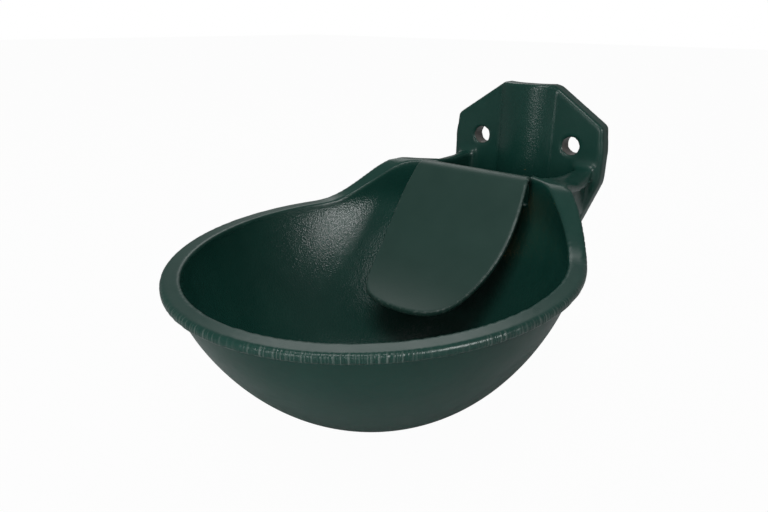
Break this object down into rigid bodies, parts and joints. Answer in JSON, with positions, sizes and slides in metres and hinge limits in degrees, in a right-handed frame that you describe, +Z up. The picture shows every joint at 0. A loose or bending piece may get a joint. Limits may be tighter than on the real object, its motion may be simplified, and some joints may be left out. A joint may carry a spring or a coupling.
{
  "type": "livestock drinking bowl",
  "caption": "Cast iron drinking bowl on a bracket plate for a wall or round post, with a hinged tongue that opens a sprung water valve.",
  "frame": {"origin": "midway between the two fixing holes, on the back face of the bracket plate", "axes": "+X to the right as seen by the animal, +Y into the wall or post, +Z up"},
  "size_m": [0.22, 0.3105, 0.1726],
  "materials": {
    "enamelled_iron": "glossy dark green enamel over sand-cast iron",
    "tongue_enamel": "satin dark green enamel",
    "stainless": "bright drawn",
    "brass": "machined",
    "rubber": "matt",
    "white_plastic": "matt"
  },
  "bodies": {
    "root": {"bowl_casting": "enamelled_iron", "hinge_pin": "stainless", "hinge_washers": "stainless", "hinge_split_pins": "stainless", "valve_body": "brass", "valve_gasket": "rubber", "valve_seat": "brass", "stem_guide_bush": "white_plastic", "closing_spring": "stainless", "spring_retainer": "white_plastic", "inlet_strainer": "stainless", "retainer_clip": "stainless", "regulator_gland": "brass", "blanking_plug": "brass", "plug_washer": "rubber"},
    "tongue": {"tongue": "tongue_enamel"},
    "stem": {"valve_stem": "stainless", "stem_cap": "white_plastic", "valve_disc": "rubber", "disc_holder": "brass", "disc_nut": "brass"},
    "regulator": {"regulator_spindle": "brass", "regulator_o_ring": "rubber"}
  },
  "joints": [
    {"name": "tongue_swing", "type": "hinge", "parent": "root", "child": "tongue", "pos_m": [0, -0.0765, -0.025], "axis": [1, 0, 0], "range_deg": [0, 10], "stiffness_Nm_per_rad": 2, "springref_deg": -20.05},
    {"name": "stem_push", "type": "slide", "parent": "root", "child": "stem", "axis": [0, 1, 0], "range_m": [0, 0.00395], "deforming": ["closing_spring"]},
    {"name": "regulator_turn", "type": "hinge", "parent": "root", "child": "regulator", "pos_m": [0, -0.0575, -0.039], "axis": [0, 0, 1], "range_deg": [0, 90]}
  ],
  "couplings": [
    {"joint": "stem_push", "follows": "tongue_swing", "m_per_rad": 0.0225}
  ]
}
